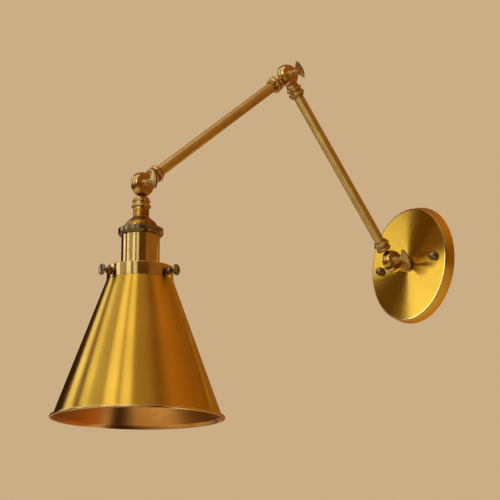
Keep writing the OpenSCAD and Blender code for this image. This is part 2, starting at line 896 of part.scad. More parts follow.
wall_plate();
mounting_bar();
bar_studs();
stud_lock_nuts();
cap_nuts();
earth_screw();
terminal_block();
terminal_clamp_screws();
base_washer();
base_lock_nut();
base_collar();
base_knuckle();
base_leads();
wall_friction_washer();
wall_key();
lower_wall_knuckle();
lower_wall_collar();
lower_arm_tube();
lower_elbow_collar();
lower_elbow_knuckle();
lower_arm_leads();
elbow_friction_washer();
elbow_key();
upper_elbow_knuckle();
upper_elbow_collar();
upper_arm_tube();
upper_head_collar();
upper_head_knuckle();
upper_arm_leads();
head_friction_washer();
head_key();
head_knuckle();
head_collar();
head_lock_nut();
socket_cap();
socket_ring();
socket_shell();
socket_liner();
lampholder_core();
lampholder_screws();
screw_contact();
centre_contact();
head_leads();
shade_gallery();
gallery_bosses();
gallery_retaining_ring();
shade();
shade_screw_right();
shade_screw_back();
shade_screw_left();
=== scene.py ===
# An extendable wall lamp of brass: a round wall plate, a folding arm of two tubes on ball
# knuckles with flat keys, and a lampholder that carries a spun cone shade.
import json
import math

import bpy
from mathutils import Matrix, Vector


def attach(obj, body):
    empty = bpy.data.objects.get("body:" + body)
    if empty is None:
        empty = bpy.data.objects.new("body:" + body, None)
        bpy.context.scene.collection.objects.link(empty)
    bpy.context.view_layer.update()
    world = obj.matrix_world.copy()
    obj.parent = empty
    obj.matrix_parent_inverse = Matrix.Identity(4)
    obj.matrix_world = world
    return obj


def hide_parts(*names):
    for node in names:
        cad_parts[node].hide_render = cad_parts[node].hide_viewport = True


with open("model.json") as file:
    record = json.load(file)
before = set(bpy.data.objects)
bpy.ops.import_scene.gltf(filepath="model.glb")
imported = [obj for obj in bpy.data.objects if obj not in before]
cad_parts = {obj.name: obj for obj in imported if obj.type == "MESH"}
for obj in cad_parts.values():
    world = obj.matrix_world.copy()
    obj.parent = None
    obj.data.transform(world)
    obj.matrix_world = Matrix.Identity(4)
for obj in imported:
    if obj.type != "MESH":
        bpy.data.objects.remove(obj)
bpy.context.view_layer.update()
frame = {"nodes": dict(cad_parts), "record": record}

MM = 0.001


# Camera
# It stands below the lamp and to its right, and looks up at it a little, as in the photograph.
CAMERA_PLACE = (1.154286, -0.998925, -0.356336)
CAMERA_AZIMUTH = math.radians(55.52)
CAMERA_RISE = math.radians(13.806)
CAMERA_LENS, CAMERA_SENSOR = 109.058, 36
bpy.ops.object.select_all(action="DESELECT")
bpy.ops.object.camera_add(location=CAMERA_PLACE)
camera = bpy.context.object
camera.name = "camera"
camera.data.sensor_width = CAMERA_SENSOR
camera.data.lens = CAMERA_LENS
camera_heading = Vector((
    -math.sin(CAMERA_AZIMUTH) * math.cos(CAMERA_RISE),
    math.cos(CAMERA_AZIMUTH) * math.cos(CAMERA_RISE),
    math.sin(CAMERA_RISE),
))
camera.rotation_euler = camera_heading.to_track_quat("-Z", "Y").to_euler()
bpy.context.scene.camera = camera
bpy.context.scene.view_settings.view_transform = "Standard"

# Room light
# Metal shows what is round it: a dim brown room in front of the wall, the plastered wall beside
# the lamp, and a paler ceiling above both. The camera sees plain plaster everywhere.
PLASTER = "CBAD86"
DIM_ROOM, WALL_IN_SHADE, DARK_CORNER = "5C3E1B", "966530", "20130A"
CEILING, CORNER, WALL_ABOVE = "B8997F", "8C5E2E", "C48548"
CORNER_FROM, CORNER_TO = -0.8, -0.95
ABOVE_FROM, ABOVE_TO, RIGHT_SIDE_SHARE = 0.55, 0.95, 0.3


def srgb(code):
    """A colour written as six sRGB hex digits, as linear RGBA."""
    channels = [int(code[i:i + 2], 16) / 255 for i in (0, 2, 4)]
    return tuple(
        c / 12.92 if c <= 0.04045 else ((c + 0.055) / 1.055) ** 2.4 for c in channels) + (1,)


def add(tree, kind, inputs=None, **settings):
    """Adds one shader node, with its settings, and with values or links for its inputs."""
    node = tree.nodes.new("ShaderNode" + kind)
    for name, value in settings.items():
        setattr(node, name, value)
    for name, value in (inputs or {}).items():
        if isinstance(value, bpy.types.NodeSocket):
            tree.links.new(value, node.inputs[name])
        else:
            node.inputs[name].default_value = value
    return node


def tones(tree, value, low, high, stops):
    """Colours that blend from one to the next as a value rises."""
    share = add(tree, "MapRange", {"Value": value, "From Min": low, "From Max": high})
    ramp = add(tree, "ValToRGB", {"Fac": share.outputs["Result"]})
    ramp.color_ramp.elements.remove(ramp.color_ramp.elements[1])
    for number, (at, colour) in enumerate(stops):
        stop = ramp.color_ramp.elements[0] if number == 0 else ramp.color_ramp.elements.new(1)
        stop.position = (at - low) / (high - low)
        stop.color = srgb(colour)
    return ramp.outputs["Color"]


world = bpy.data.worlds.new("studio")
bpy.context.scene.world = world
world.use_nodes = True
sky = world.node_tree
sky.nodes.clear()
heading = add(sky, "TexCoord").outputs["Generated"]
toward = add(sky, "SeparateXYZ", {"Vector": heading})
front = tones(sky, toward.outputs["Y"], -1, 1, [(-0.02, DIM_ROOM), (0.06, WALL_IN_SHADE)])
corner = add(sky, "MapRange", {
    "Value": toward.outputs["X"], "From Min": CORNER_FROM, "From Max": CORNER_TO})
level = add(sky, "MixRGB", {
    "Fac": corner.outputs["Result"], "Color1": front, "Color2": srgb(DARK_CORNER)})
above = tones(sky, toward.outputs["Y"], -1, 1, [
    (-0.04, CEILING), (0.10, CORNER), (0.2, CORNER), (0.4, WALL_ABOVE)])
lit_side = add(sky, "Math", {
    0: toward.outputs["X"], 1: RIGHT_SIDE_SHARE, 2: toward.outputs["Z"]}, operation="MULTIPLY_ADD")
upward = add(sky, "MapRange", {
    "Value": lit_side.outputs["Value"], "From Min": ABOVE_FROM, "From Max": ABOVE_TO,
}, interpolation_type="SMOOTHSTEP")
around = add(sky, "MixRGB", {
    "Fac": upward.outputs["Result"], "Color1": level.outputs["Color"], "Color2": above})
path = add(sky, "LightPath")
seen = add(sky, "MixRGB", {
    "Fac": path.outputs["Is Camera Ray"], "Color1": around.outputs["Color"],
    "Color2": srgb(PLASTER),
})
backdrop = add(sky, "Background", {"Color": seen.outputs["Color"], "Strength": 1})
add(sky, "OutputWorld", {"Surface": backdrop.outputs["Background"]})

# Soft boxes
# Long soft boxes stand round the front of the lamp. Each is set by the part of the shade that it
# lights up to the camera, and its radiance is about that of white paper in window light.
SOFT_BOX_AWAY = 2.4
SHADE_MIDDLE = Vector((0, -0.326, -0.10))
SHADE_SLOPE = 20
BOX_FROM, BOX_TO = -5, 40
POWER_PER_RADIANCE = 4
# Each strip: where the lit part of the shade faces, from and to, in degrees, and the radiance.
STRIPS = [
    (-91, -81.5, 0.95), (-74.5, -66.5, 0.86), (-66, -56.5, 0.30), (-55, -46, 0.84),
    (-42.5, -35.5, 0.66),
]


def level_way(turn, rise=0):
    """A direction, from its turn round the vertical and its rise from level, in degrees."""
    turn, rise = math.radians(turn), math.radians(rise)
    return Vector((
        math.cos(turn) * math.cos(rise), math.sin(turn) * math.cos(rise), math.sin(rise)))


def shown_in(facing, rise):
    """The way that the camera looks after it meets metal that faces one way, in degrees."""
    return (SHADE_MIDDLE - Vector(CAMERA_PLACE)).normalized().reflect(level_way(facing, rise))


def soft_box(name, out, up, sides, ends, radiance):
    """An area lamp whose sides and ends lie in given directions from the middle of the shade."""
    across = up.cross(out)
    left, right = (SOFT_BOX_AWAY * way.dot(across) / way.dot(out) for way in sides)
    low, high = (SOFT_BOX_AWAY * way.dot(up) / way.dot(out) for way in ends)
    place = SHADE_MIDDLE + out * SOFT_BOX_AWAY
    place += across * (left + right) / 2 + up * (low + high) / 2
    bpy.ops.object.light_add(type="AREA", location=place)
    lamp = bpy.context.object
    lamp.name = name
    lamp.rotation_euler = Matrix((across, up, out)).transposed().to_euler()
    lamp.data.shape = "RECTANGLE"
    lamp.data.size = abs(right - left)
    lamp.data.size_y = abs(high - low)
    lamp.data.energy = radiance * POWER_PER_RADIANCE * lamp.data.size * lamp.data.size_y
    return lamp


strips = []
for number, (face_from, face_to, radiance) in enumerate(STRIPS):
    middle = (face_from + face_to) / 2
    upright, sloping = shown_in(middle, 0), shown_in(middle, SHADE_SLOPE)
    out = (upright + sloping).normalized()
    up = (sloping - sloping.dot(out) * out).normalized()
    strips.append(soft_box(
        f"strip_{number}", out, up,
        [shown_in(face, SHADE_SLOPE / 2) for face in (face_from, face_to)],
        [shown_in(middle, rise) for rise in (BOX_FROM, BOX_TO)], radiance))

# A small bright window high on the left leaves a pale spark on everything that is round.
WINDOW_FROM, WINDOW_TO, WINDOW_LOW, WINDOW_HIGH = -82, -72, 19, 31
WINDOW_RADIANCE, WINDOW_TINT = 5.0, "FFEAD8"
middle = (WINDOW_FROM + WINDOW_TO) / 2
window = soft_box(
    "small_window", level_way(middle), Vector((0, 0, 1)),
    [level_way(WINDOW_FROM), level_way(WINDOW_TO)],
    [level_way(middle, WINDOW_LOW), level_way(middle, WINDOW_HIGH)], WINDOW_RADIANCE)
window.data.color = srgb(WINDOW_TINT)[:3]

# Floor
# A plain pale floor far below the lamp. To glossy rays alone it glows with a painted pattern:
# a painted pool of window light, painted shade at the foot of the wall, and the wall itself beyond.
FLOOR_BELOW, FLOOR_SIZE = -0.9, 40
FLOOR_COLOUR, FLOOR_LIFT, FLOOR_ROUGHNESS = "D8C6AA", "8E7C62", 0.8
# Colours of the floor's glow that metal shows: painted light, painted shade and the wall.
LIT_FLOOR, FOOT_OF_WALL_SHADE, SKIRTING = "E6D2AE", "33230F", "E6DCCE"
WALL_BELOW, FAR_WALL = "BF823F", "876037"
FLOOR_SLANT, WALL_STARTS, WALL_ENDS = 0.3, -0.95, -0.4
bpy.ops.mesh.primitive_plane_add(size=FLOOR_SIZE, location=(0, 0, FLOOR_BELOW))
floor = bpy.context.object
floor.name = "floor"
# Matt floor paint: an even pale ground with no shine, lifted a little where the camera sees it.
floor_paint = bpy.data.materials.new("floor_paint")
floor_paint.use_nodes = True
tree = floor_paint.node_tree
paint = tree.nodes["Principled BSDF"]
paint.inputs["Base Color"].default_value = srgb(FLOOR_COLOUR)
paint.inputs["Roughness"].default_value = FLOOR_ROUGHNESS
rays = add(tree, "LightPath").outputs
paint.inputs["Emission Color"].default_value = srgb(FLOOR_LIFT)
tree.links.new(rays["Is Camera Ray"], paint.inputs["Emission Strength"])
place = add(tree, "TexCoord").outputs["Object"]
sideways, from_wall = (add(tree, "SeparateXYZ", {"Vector": place}).outputs[way] for way in "XY")
slanting = add(tree, "Math", {
    0: sideways, 1: FLOOR_SLANT, 2: from_wall}, operation="MULTIPLY_ADD").outputs["Value"]
# The glow that metal alone sees: a painted pool of window light and painted shade by the wall.
out_there = tones(tree, slanting, -4, 4, [
    (-1.95, DIM_ROOM), (-1.6, LIT_FLOOR), (-0.5, LIT_FLOOR), (0.1, FOOT_OF_WALL_SHADE)])
by_wall = tones(tree, from_wall, -4, 4, [
    (-0.05, FOOT_OF_WALL_SHADE), (0.0, SKIRTING), (0.18, SKIRTING), (0.32, WALL_BELOW),
    (0.9, WALL_BELOW), (2.0, FAR_WALL)])
near_wall = add(tree, "MapRange", {
    "Value": from_wall, "From Min": WALL_STARTS, "From Max": WALL_ENDS})
below = add(tree, "MixRGB", {
    "Fac": near_wall.outputs["Result"], "Color1": out_there, "Color2": by_wall})
painted_glow = add(tree, "Emission", {"Color": below.outputs["Color"]})
both = add(tree, "MixShader", {
    0: rays["Is Glossy Ray"], 1: paint.outputs["BSDF"], 2: painted_glow.outputs["Emission"]})
tree.links.new(both.outputs["Shader"], tree.nodes["Material Output"].inputs["Surface"])
floor.data.materials.append(floor_paint)

# Wall plate
# A shallow dish pressed from brass sheet, brushed on a lathe so that its grooves run in circles,
# then lacquered. It hangs on two studs and covers the mounting bar.
PLATE_RADIUS, PLATE_DEPTH, PLATE_SHEET, PLATE_DRAFT = 60, 10, 1.2, 2.4
PLATE_EDGE, PLATE_INNER_EDGE, PLATE_FOOT, PLATE_HOLE = 1.6, 0.5, 1.2, 5.2
HIGHLIGHT_RIM = 5
MERGE_GAP, SMOOTH_BELOW, SHARP_ABOVE = 0.002, math.radians(32), math.radians(35)
TONE_FROM, TONE_TO = 0.35, 0.7
SEAM_CLOSED, SEAM_OPEN = 0.45, 0.85
WEAR_FROM, WEAR_TO, WEAR = 0.3, 0.7, 0.03
# Real grooves are some hundredths of a millimetre apart, too fine to show. They are drawn coarser,
# and shallow, because deeper ones would blur the highlight that they spread.
GROOVE_PITCH, GROOVE_DEPTH = 0.5, 0.03


def hold(piece):
    """Selects one piece alone and makes it the active one."""
    bpy.ops.object.select_all(action="DESELECT")
    piece.select_set(True)
    bpy.context.view_layer.objects.active = piece


def turned(name, outline, sides=144, bevel=0.0):
    """Turns a closed outline of (radius, height) points, in millimetres, round the Z axis."""
    bpy.ops.object.select_all(action="DESELECT")
    radius, height = outline[0]
    bpy.ops.mesh.primitive_circle_add(
        vertices=sides, radius=radius * MM, location=(0, 0, height * MM))
    piece = bpy.context.object
    piece.name = name
    bpy.ops.object.transform_apply(location=True)
    bpy.ops.object.mode_set(mode="EDIT")
    bpy.ops.mesh.select_mode(type="EDGE")
    bpy.ops.mesh.select_all(action="SELECT")
    for next_radius, next_height in outline[1:] + outline[:1]:
        rise = (0, 0, (next_height - height) * MM)
        bpy.ops.mesh.extrude_edges_move(TRANSFORM_OT_translate={"value": rise})
        grow = next_radius / radius
        bpy.ops.transform.resize(
            value=(grow, grow, 1), center_override=(0, 0, next_height * MM))
        radius, height = next_radius, next_height
    bpy.ops.mesh.select_all(action="SELECT")
    bpy.ops.mesh.remove_doubles(threshold=MERGE_GAP * MM)
    bpy.ops.mesh.normals_make_consistent(inside=False)
    bpy.ops.object.mode_set(mode="OBJECT")
    if bevel:
        round_edges(piece, bevel)
    bpy.ops.object.shade_smooth_by_angle(angle=SMOOTH_BELOW)
    return piece


def round_edges(piece, width, segments=2):
    """Rounds every sharp edge, as tumbling and polishing do."""
    bpy.context.view_layer.objects.active = piece
    bevel = piece.modifiers.new("round", "BEVEL")
    bevel.width = width * MM
    bevel.segments = segments
    bevel.limit_method = "ANGLE"
    bevel.angle_limit = SHARP_ABOVE
    bpy.ops.object.modifier_apply(modifier=bevel.name)


def arc(centre_radius, centre_height, radius, start, end, steps=8):
    """Points of an arc in the (radius, height) plane, from one angle to another in degrees."""
    angles = [math.radians(start + (end - start) * i / steps) for i in range(steps + 1)]
    return [
        (centre_radius + radius * math.cos(a), centre_height + radius * math.sin(a))
        for a in angles]


def between(start, end):
    """Two points near the ends of a long straight side, which keep its middle flat, and its end."""
    start, end = Vector(start), Vector(end)
    return [tuple(start.lerp(end, share)) for share in (0.01, 0.99, 1)]


def settle(piece, matrix):
    """Puts a finished piece in its place, with the place in its mesh."""
    hold(piece)
    piece.matrix_world = matrix
    bpy.ops.object.transform_apply(location=True, rotation=True, scale=True)


def brass(name, bright, dull, roughness, seam_and_shade=None, seam_reach=2.5, cloud_size=12):
    """Brass in two tones of tarnish, turned brown where occlusion is near: partly patina in
    grooves, partly painted shade in seams and between parts. Sizes are in millimetres.
    """
    material = bpy.data.materials.new(name)
    material.use_nodes = True
    tree = material.node_tree
    shader = tree.nodes["Principled BSDF"]
    place = add(tree, "TexCoord").outputs["Object"]
    cloud = add(tree, "TexNoise", {
        "Vector": place, "Scale": 1 / (cloud_size * MM), "Detail": 3})
    share = add(tree, "MapRange", {
        "Value": cloud.outputs["Fac"], "From Min": TONE_FROM, "From Max": TONE_TO})
    tone = add(tree, "MixRGB", {
        "Fac": share.outputs["Result"], "Color1": srgb(bright), "Color2": srgb(dull)})
    if seam_and_shade:
        # Painted shade: brown where ambient occlusion finds other surfaces near; in grooves it also
        # stands for patina.
        openness = add(tree, "AmbientOcclusion", {"Distance": seam_reach * MM}, samples=8)
        unoccluded = add(tree, "MapRange", {
            "Value": openness.outputs["AO"], "From Min": SEAM_CLOSED, "From Max": SEAM_OPEN})
        tone = add(tree, "MixRGB", {
            "Fac": unoccluded.outputs["Result"], "Color1": srgb(seam_and_shade),
            "Color2": tone.outputs["Color"]})
    tree.links.new(tone.outputs["Color"], shader.inputs["Base Color"])
    shader.inputs["Metallic"].default_value = 1
    rough = add(tree, "MapRange", {
        "Value": cloud.outputs["Fac"], "From Min": WEAR_FROM, "From Max": WEAR_TO,
        "To Min": roughness - WEAR, "To Max": roughness + WEAR,
    })
    tree.links.new(rough.outputs["Result"], shader.inputs["Roughness"])
    return material


def groove(material, axis, centre):
    """Grooves round an axis, that spread each highlight across them."""
    tree = material.node_tree
    shader = tree.nodes["Principled BSDF"]
    place = add(tree, "TexCoord").outputs["Object"]
    centred = add(tree, "VectorMath", {0: place, 1: centre}, operation="SUBTRACT")
    centred = centred.outputs["Vector"]
    flat = add(tree, "VectorMath", {
        0: centred, 1: [float(way != axis) for way in "XYZ"]}, operation="MULTIPLY")
    radius = add(tree, "VectorMath", {0: flat.outputs["Vector"]}, operation="LENGTH")
    height = add(tree, "SeparateXYZ", {"Vector": centred}).outputs[axis]
    profile = add(tree, "Math", {0: radius.outputs["Value"], 1: height}, operation="SUBTRACT")
    lines = add(tree, "TexNoise", {
        "W": profile.outputs["Value"], "Scale": 1 / (GROOVE_PITCH * MM), "Detail": 2,
    }, noise_dimensions="1D")
    relief = add(tree, "Bump", {
        "Height": lines.outputs["Fac"], "Strength": GROOVE_DEPTH, "Distance": GROOVE_PITCH * MM})
    tree.links.new(relief.outputs["Normal"], shader.inputs["Normal"])
    shader.inputs["Anisotropic"].default_value = 1
    shader.inputs["Anisotropic Rotation"].default_value = 0.25
    turn = add(tree, "Tangent", direction_type="RADIAL", axis=axis)
    tree.links.new(turn.outputs["Tangent"], shader.inputs["Tangent"])


def finished(piece, material, slot, body, *nodes):
    """Gives a piece its material, joins it to its body, and hides the nodes it stands for."""
    piece.data.materials.clear()
    piece.data.materials.append(material)
    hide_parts(*nodes)
    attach(piece, body)


def dish(radius, depth, edge):
    """Outline of a drawn dish from its foot to its flat front, with a rounded edge."""
    rise = depth - PLATE_FOOT
    slope = math.hypot(PLATE_DRAFT, rise)
    lean = PLATE_DRAFT / slope
    edge_radius = radius - (edge + (rise - edge) * lean) / (rise / slope)
    return [(radius, 0), (radius, PLATE_FOOT)] + arc(
        edge_radius, depth - edge, edge, math.degrees(math.asin(lean)), 90)


outside = dish(PLATE_RADIUS, PLATE_DEPTH, PLATE_EDGE)
outside += between(outside[-1], (PLATE_HOLE, PLATE_DEPTH))
inside = dish(PLATE_RADIUS - PLATE_SHEET, PLATE_DEPTH - PLATE_SHEET, PLATE_INNER_EDGE)
inside += [(PLATE_HOLE, PLATE_DEPTH - PLATE_SHEET)]
wall_plate = turned("wall_plate_brushed", outside + inside[::-1], sides=256)
settle(wall_plate, Matrix.Rotation(math.radians(90), 4, "X"))
# Brushed and lacquered brass: the grooves spread each light into a fan that narrows to the middle,
# and the lacquer keeps the yellow even.
plate_brass = brass("brushed_lacquered_brass_plate", "F0C64A", "EABD42", 0.24, cloud_size=40)
groove(plate_brass, "Y", (0, 0, 0))
finished(wall_plate, plate_brass, "antique_brass", "base", "wall_plate")
# Burnished brass on the rounded edge: smooth, so it shows one thin sharp line, and painted paler
# as a painted highlight along that line.
edge_brass_and_highlight = brass("smooth_brass_edge_painted_highlight", "F2D796", "E8C880", 0.16)
wall_plate.data.materials.append(edge_brass_and_highlight)
for face in wall_plate.data.polygons:
    out = math.hypot(face.center.x, face.center.z)
    on_front = face.center.y < -(PLATE_DEPTH - PLATE_EDGE) * MM
    if on_front and out > (PLATE_RADIUS - HIGHLIGHT_RIM) * MM and abs(face.normal.y) < 0.999:
        face.material_index = 1

# Two more soft boxes light the plate alone. Together they fill the quarter of the view below and
# to the right of what a mirror in the plate's place would show, all but the very corner, so the
# grooves light up in two opposite quarters and stay dark in the others.
PLATE_BOX_CORNER, PLATE_BOX_HIGH, PLATE_BOX_END, PLATE_BOX_LOW = -139.1, 13.1, -90, -30
PLATE_BOX_INNER, PLATE_BOX_UNDER, PLATE_BOX_RADIANCE = -132.5, 9, 2.0
plate_boxes = []
for name, turn_from, turn_to, high in [
    ("plate_box_side", PLATE_BOX_INNER, PLATE_BOX_END, PLATE_BOX_HIGH),
    ("plate_box_below", PLATE_BOX_CORNER, PLATE_BOX_INNER, PLATE_BOX_UNDER),
]:
    middle = (turn_from + turn_to) / 2
    plate_box = soft_box(
        name, level_way(middle), Vector((0, 0, 1)), [level_way(turn_from), level_way(turn_to)],
        [level_way(middle, PLATE_BOX_LOW), level_way(turn_from, high)], PLATE_BOX_RADIANCE)
    plate_box.location -= SHADE_MIDDLE
    plate_boxes.append(plate_box)
lit_alone = bpy.data.collections.new("lit_by_plate_box")
lit_alone.objects.link(wall_plate)
for plate_box in plate_boxes:
    plate_box.light_linking.receiver_collection = lit_alone
left_out = bpy.data.collections.new("not_lit_by_strips")
left_out.objects.link(wall_plate)
left_out.collection_objects[0].light_linking.link_state = "EXCLUDE"
for strip in strips:
    strip.light_linking.receiver_collection = left_out

# Cap nuts
# Two domed brass nuts, turned and polished, that hold the plate on its studs.
CAP_NUT_RADIUS, CAP_NUT_HEIGHT, CAP_NUT_BORE, STUD_FROM_MIDDLE = 4.5, 7, 2.1, 42
CAP_NUT_EDGE, CAP_NUT_DEEP, CAP_NUT_SHALLOW = 0.25, 6, 2


def joined(pieces, name):
    """Joins pieces into the first of them."""
    bpy.ops.object.select_all(action="DESELECT")
    for piece in pieces:
        piece.select_set(True)
    bpy.context.view_layer.objects.active = pieces[0]
    bpy.ops.object.join()
    pieces[0].name = name
    return pieces[0]


nut_wall = CAP_NUT_HEIGHT - CAP_NUT_RADIUS
nut_outline = [(CAP_NUT_BORE, 0), (CAP_NUT_RADIUS, 0), (CAP_NUT_RADIUS, nut_wall)]
nut_outline += arc(0, nut_wall, CAP_NUT_RADIUS, 10, 88, 10)
nut_outline += [(0.02, CAP_NUT_DEEP), (CAP_NUT_BORE, CAP_NUT_SHALLOW)]
nuts = []
for side in (-1, 1):
    nut = turned("cap_nut", nut_outline, sides=64, bevel=CAP_NUT_EDGE)
    settle(nut, Matrix.Translation((side * STUD_FROM_MIDDLE * MM, -PLATE_DEPTH * MM, 0))
           @ Matrix.Rotation(math.radians(90), 4, "X"))
    nuts.append(nut)
cap_nuts = joined(nuts, "cap_nuts_domed")
# Brass dipped to an antique brown and waxed: its reflections are sharp, dim and rather grey.
# Where other surfaces are near it darkens further: painted shade.
dark_brass = brass("dark_antique_brass", "AC9A76", "7A6844", 0.2, seam_and_shade="1E160A")
finished(cap_nuts, dark_brass, "antique_brass", "base", "cap_nuts")

# Frames of the arm
# Each arm runs from the middle of one ball to the middle of the next. A piece is modelled
# standing up from a ball's middle and then laid along its arm.
WALL_REACH, ARM_LENGTH, LOWER_RISE, UPPER_RISE = 32, 216, 53, -40.4


def arm_step(rise):
    """The way from one ball's middle to the next along an arm, in millimetres."""
    rise = math.radians(rise)
    return Vector((0, -math.cos(rise), math.sin(rise))) * ARM_LENGTH


def along(ball, rise, far_end=False):
    """The place of a piece that stands up from a ball's middle and rises at an angle from level."""
    place = Matrix.Translation(ball * MM) @ Matrix.Rotation(math.radians(90 - rise), 4, "X")
    if far_end:
        to_far_end = Matrix.Translation((0, 0, ARM_LENGTH * MM))
        place = place @ to_far_end @ Matrix.Rotation(math.pi, 4, "X")
    return place


wall_ball = Vector((0, -WALL_REACH, 0))
elbow_ball = wall_ball + arm_step(LOWER_RISE)
head_ball = elbow_ball + arm_step(UPPER_RISE)
into_wall = along(wall_ball, 180)
lower_near = along(wall_ball, LOWER_RISE)
lower_far = along(wall_ball, LOWER_RISE, far_end=True)
upper_near = along(elbow_ball, UPPER_RISE)
upper_far = along(elbow_ball, UPPER_RISE, far_end=True)
head_down = along(head_ball, -90)

# Ball knuckles
# Six cast half balls, two to a knuckle, each with a turned neck. They are polished, and brown
# stays in the seam between them: partly antique patina, partly painted shade.
BALL_RADIUS, BALL_SIDES, NECK_RADIUS, NECK_END, HALF_GAP = 11.5, 96, 6, 13, 0.3
KEY_FACE, KEY_BOSS_RADIUS, KEY_BOSS_EDGE, KEY_SEAT, KEY_BOSS_ROOT = 7, 4.2, 0.9, 8.2, 2
NECK_FILLET, CUT_MERGE_GAP, CUT_EDGE = 0.4, 0.12, 0.35
POLE = 0.05
# Brass turned on a lathe, polished and left to tarnish: small pale sparks on every round part, and
# brown in the grooves: patina where it isn't rubbed, and painted shade.
turned_brass = brass(
    "turned_polished_brass", "DDB870", "CAA35A", 0.24, seam_and_shade="44280C", seam_reach=2.2)


def cut_off(beyond, outward):
    """Cuts what is selected at a plane, drops what lies outward of it and closes the cut."""
    bpy.ops.mesh.bisect(plane_co=beyond, plane_no=outward, use_fill=True, clear_outer=True)


def half_knuckle(name, side):
    """A ball with its neck, cut so that the other half's ball fits beside it."""
    fillet_radius = NECK_RADIUS + NECK_FILLET
    fillet_height = math.sqrt((BALL_RADIUS + NECK_FILLET) ** 2 - fillet_radius ** 2)
    touch = math.degrees(math.atan2(fillet_height, fillet_radius))
    outline = arc(0, 0, BALL_RADIUS, -89.6, touch, 36)
    outline += arc(fillet_radius, fillet_height, NECK_FILLET, 180 + touch, 180, 3)[1:]
    outline += [(NECK_RADIUS, NECK_END), (POLE, NECK_END)]
    knuckle = turned(name, outline, sides=BALL_SIDES)
    bpy.ops.object.select_all(action="DESELECT")
    bpy.ops.mesh.primitive_uv_sphere_add(
        segments=BALL_SIDES, ring_count=BALL_SIDES // 2, radius=(BALL_RADIUS + HALF_GAP) * MM)
    other_ball = bpy.context.object
    bpy.ops.object.mode_set(mode="EDIT")
    bpy.ops.mesh.select_all(action="SELECT")
    cut_off((side * HALF_GAP / 2 * MM, 0, 0), (side, 0, 0))
    bpy.ops.object.mode_set(mode="OBJECT")
    bpy.context.view_layer.objects.active = knuckle
    hollow = knuckle.modifiers.new("hollow", "BOOLEAN")
    hollow.operation = "DIFFERENCE"
    hollow.object = other_ball
    hollow.solver = "EXACT"
    bpy.ops.object.modifier_apply(modifier=hollow.name)
    bpy.data.objects.remove(other_ball)
    if side > 0:
        hold(knuckle)
        bpy.ops.object.mode_set(mode="EDIT")
        bpy.ops.mesh.select_all(action="SELECT")
        cut_off((KEY_FACE * MM, 0, 0), (1, 0, 0))
        bpy.ops.object.mode_set(mode="OBJECT")
        boss_foot = KEY_FACE - KEY_BOSS_ROOT
        boss_outline = [(POLE, boss_foot), (KEY_BOSS_RADIUS, boss_foot)]
        boss_outline += arc(
            KEY_BOSS_RADIUS - KEY_BOSS_EDGE, KEY_SEAT - KEY_BOSS_EDGE, KEY_BOSS_EDGE, 0, 90, 5)
        boss_outline += [(POLE, KEY_SEAT)]
        boss = turned("boss", boss_outline, sides=64)
        settle(boss, Matrix.Rotation(math.radians(90), 4, "Y"))
        knuckle = joined([knuckle, boss], name)
    hold(knuckle)
    bpy.ops.object.mode_set(mode="EDIT")
    bpy.ops.mesh.select_all(action="SELECT")
    bpy.ops.mesh.remove_doubles(threshold=CUT_MERGE_GAP * MM)
    bpy.ops.object.mode_set(mode="OBJECT")
    round_edges(knuckle, CUT_EDGE, 3)
    hold(knuckle)
    bpy.ops.object.shade_smooth_by_angle(angle=SMOOTH_BELOW)
    return knuckle


def copy_of(piece, name):
    """A copy with its own mesh."""
    twin = piece.copy()
    twin.data = piece.data.copy()
    twin.name = name
    bpy.context.scene.collection.objects.link(twin)
    return twin


plain_half, key_half = half_knuckle("plain_half", -1), half_knuckle("key_half", 1)
for node, half, place, body in [
    ("base_knuckle", key_half, into_wall, "base"),
    ("lower_wall_knuckle", plain_half, lower_near, "lower_arm"),
    ("lower_elbow_knuckle", key_half, lower_far, "lower_arm"),
    ("upper_elbow_knuckle", plain_half, upper_near, "upper_arm"),
    ("upper_head_knuckle", key_half, upper_far, "upper_arm"),
    ("head_knuckle", plain_half, head_down, "head"),
]:
    knuckle = copy_of(half, node + "_polished")
    settle(knuckle, place)
    finished(knuckle, turned_brass, "antique_brass", body, node)
for master in (plain_half, key_half):
    bpy.data.objects.remove(master)

# Keys
# Three flat keys, forged with a fan-shaped grip on a round stem. Each is one piece with the
# screw that clamps its knuckle.
GRIP_END, GRIP_LENGTH, GRIP_HALF, GRIP_THICK = 26.4, 10.2, 8.6, 1.6
GRIP_EDGE_RADIUS, GRIP_SWELL, GRIP_EDGE, KEY_TAPER = 12.6, 1.2, 0.5, 4
STEM_RADIUS, SHOULDER_RADIUS, SHOULDER_TOP, SHOULDER_EDGE = 2, 3.5, 9.7, 0.6
STEM_HOLLOW, STEM_IN_GRIP, SEAT_GAP = 0.8, 0.5, 0.1
KEY_TURN, HEAD_KEY_TURN = 122, 98

edge_middle = GRIP_END - GRIP_EDGE_RADIUS
root = Vector((GRIP_END - GRIP_LENGTH, STEM_RADIUS))
tip = Vector((edge_middle + math.sqrt(GRIP_EDGE_RADIUS ** 2 - GRIP_HALF ** 2), GRIP_HALF))
swelled = (root + tip) / 2 + (tip - root).orthogonal().normalized() * GRIP_SWELL
bpy.ops.object.select_all(action="DESELECT")
bpy.ops.mesh.primitive_cylinder_add(
    vertices=192, radius=GRIP_EDGE_RADIUS * MM, depth=GRIP_THICK * MM,
    location=(edge_middle * MM, 0, 0))
grip = bpy.context.object
bpy.ops.object.transform_apply(location=True)
bpy.ops.object.mode_set(mode="EDIT")
side_cuts = [(root, Vector((-1, 0)))]
for start, end in [(root, swelled), (swelled, tip)]:
    side_cuts.append((start, (end - start).orthogonal()))
for side in (1, -1):
    for point, outward in side_cuts:
        bpy.ops.mesh.select_all(action="SELECT")
        cut_off((point.x * MM, side * point.y * MM, 0), (outward.x, side * outward.y, 0))
bpy.ops.object.mode_set(mode="OBJECT")
round_edges(grip, GRIP_EDGE, 3)
